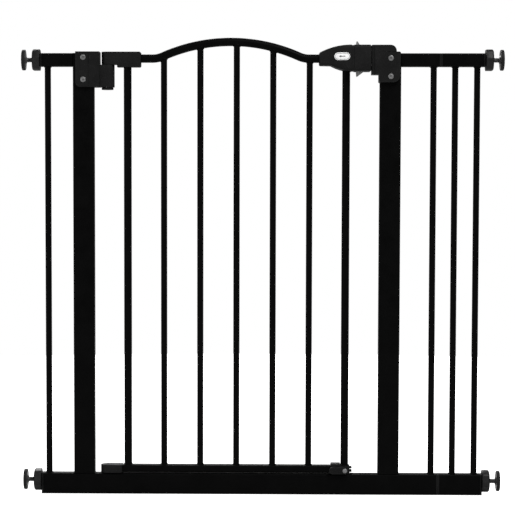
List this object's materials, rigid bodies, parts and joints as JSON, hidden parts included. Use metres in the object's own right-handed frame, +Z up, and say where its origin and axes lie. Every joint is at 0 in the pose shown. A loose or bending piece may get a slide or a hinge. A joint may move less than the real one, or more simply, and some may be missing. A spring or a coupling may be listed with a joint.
{
  "type": "safety baby gate",
  "caption": "Pressure-mounted walk-through baby gate: tube frame with screw spindles, a swinging barred door with an arched top, a sliding latch and a plug-in extension.",
  "frame": {"origin": "floor level, midway between the two walls, in the plane of the gate", "axes": "+X to the right wall seen from the front, +Y away from the viewer, through the doorway, +Z up"},
  "size_m": [0.799, 0.0406, 0.762],
  "materials": {
    "powder_coat": "black powder coat, fine texture, semi-gloss",
    "housing_plastic": "moulded black plastic, fine grain",
    "plug_plastic": "moulded black plastic",
    "nut_plastic": "moulded black plastic, satin",
    "fin_plastic": "moulded grey plastic",
    "bush_nylon": "natural nylon",
    "badge_plate": "white printed plate",
    "screw_steel": "plated steel",
    "bare_steel": "ground steel",
    "spring_steel": "spring wire",
    "spindle_steel": "zinc-plated threaded rod",
    "pad_rubber": "moulded black rubber"
  },
  "bodies": {
    "frame": {"bottom_rail": "powder_coat", "left_post": "powder_coat", "right_post": "powder_coat", "left_top_rail": "powder_coat", "right_top_rail": "powder_coat", "left_outer_bar": "powder_coat", "right_outer_bar": "powder_coat", "frame_end_plugs": "plug_plastic", "extension_top_rail": "powder_coat", "extension_bottom_rail": "powder_coat", "extension_inner_bar": "powder_coat", "extension_outer_bar": "powder_coat", "extension_end_plugs": "plug_plastic", "extension_pins": "bare_steel", "hinge_bracket_front": "housing_plastic", "hinge_bracket_rear": "housing_plastic", "upper_hinge_bush": "bush_nylon", "closing_spring": "spring_steel", "lower_hinge_pin": "bare_steel", "strike_front": "housing_plastic", "strike_rear": "housing_plastic", "housing_screws": "screw_steel"},
    "door": {"door_top_tube": "powder_coat", "door_hinge_stile": "powder_coat", "door_latch_stile": "powder_coat", "door_bottom_rail": "powder_coat", "door_bar_1": "powder_coat", "door_bar_2": "powder_coat", "door_bar_3": "powder_coat", "door_bar_4": "powder_coat", "door_bar_5": "powder_coat", "hinge_arm_front": "housing_plastic", "hinge_arm_rear": "housing_plastic", "upper_hinge_pin": "bare_steel", "pin_retainer": "housing_plastic", "lower_hinge_block": "housing_plastic", "lower_hinge_bush": "bush_nylon", "handle_front": "housing_plastic", "handle_rear": "housing_plastic", "door_shell_screws": "screw_steel", "badge": "badge_plate", "bolt_spring": "spring_steel", "stop_mount": "housing_plastic", "stop_rivet": "screw_steel"},
    "release_slide": {"release_button": "fin_plastic", "latch_bolt": "bare_steel"},
    "stop_lever": {"stop_lever": "housing_plastic"},
    "spindle_tl": {"spindle_tl": "spindle_steel", "pad_tl": "pad_rubber"},
    "nut_tl": {"hand_nut_tl": "nut_plastic"},
    "spindle_bl": {"spindle_bl": "spindle_steel", "pad_bl": "pad_rubber"},
    "nut_bl": {"hand_nut_bl": "nut_plastic"},
    "spindle_tr": {"spindle_tr": "spindle_steel", "pad_tr": "pad_rubber"},
    "nut_tr": {"hand_nut_tr": "nut_plastic"},
    "spindle_br": {"spindle_br": "spindle_steel", "pad_br": "pad_rubber"},
    "nut_br": {"hand_nut_br": "nut_plastic"}
  },
  "joints": [
    {"name": "door_swing", "type": "hinge", "parent": "frame", "child": "door", "pos_m": [-0.2573, 0, 0.3], "axis": [0, 0, 1], "range_deg": [-90, 90], "stiffness_Nm_per_rad": 0.15},
    {"name": "release_slide", "type": "slide", "parent": "door", "child": "release_slide", "axis": [-1, 0, 0], "range_m": [0, 0.008], "stiffness_N_per_m": 400, "deforming": ["bolt_spring"]},
    {"name": "stop_lever_turn", "type": "hinge", "parent": "door", "child": "stop_lever", "pos_m": [0.1397, -0.0144, 0.0414], "axis": [0, -1, 0], "range_deg": [0, 90]},
    {"name": "nut_tl_turn", "type": "hinge", "parent": "frame", "child": "nut_tl", "pos_m": [-0.376, 0, 0.725], "axis": [1, 0, 0], "range_deg": [-1810, 8650]},
    {"name": "spindle_tl_slide", "type": "slide", "parent": "frame", "child": "spindle_tl", "axis": [-1, 0, 0], "range_m": [-0.00625, 0.03]},
    {"name": "nut_bl_turn", "type": "hinge", "parent": "frame", "child": "nut_bl", "pos_m": [-0.376, 0, 0.023], "axis": [1, 0, 0], "range_deg": [-1810, 8650]},
    {"name": "spindle_bl_slide", "type": "slide", "parent": "frame", "child": "spindle_bl", "axis": [-1, 0, 0], "range_m": [-0.00625, 0.03]},
    {"name": "nut_tr_turn", "type": "hinge", "parent": "frame", "child": "nut_tr", "pos_m": [0.376, 0, 0.725], "axis": [-1, 0, 0], "range_deg": [-1810, 8650]},
    {"name": "spindle_tr_slide", "type": "slide", "parent": "frame", "child": "spindle_tr", "axis": [1, 0, 0], "range_m": [-0.00625, 0.03]},
    {"name": "nut_br_turn", "type": "hinge", "parent": "frame", "child": "nut_br", "pos_m": [0.376, 0, 0.023], "axis": [-1, 0, 0], "range_deg": [-1810, 8650]},
    {"name": "spindle_br_slide", "type": "slide", "parent": "frame", "child": "spindle_br", "axis": [1, 0, 0], "range_m": [-0.00625, 0.03]}
  ],
  "couplings": [
    {"joint": "nut_tl_turn", "follows": "spindle_tl_slide", "rad_per_m": 5026.5},
    {"joint": "nut_bl_turn", "follows": "spindle_bl_slide", "rad_per_m": 5026.5},
    {"joint": "nut_tr_turn", "follows": "spindle_tr_slide", "rad_per_m": 5026.5},
    {"joint": "nut_br_turn", "follows": "spindle_br_slide", "rad_per_m": 5026.5}
  ]
}
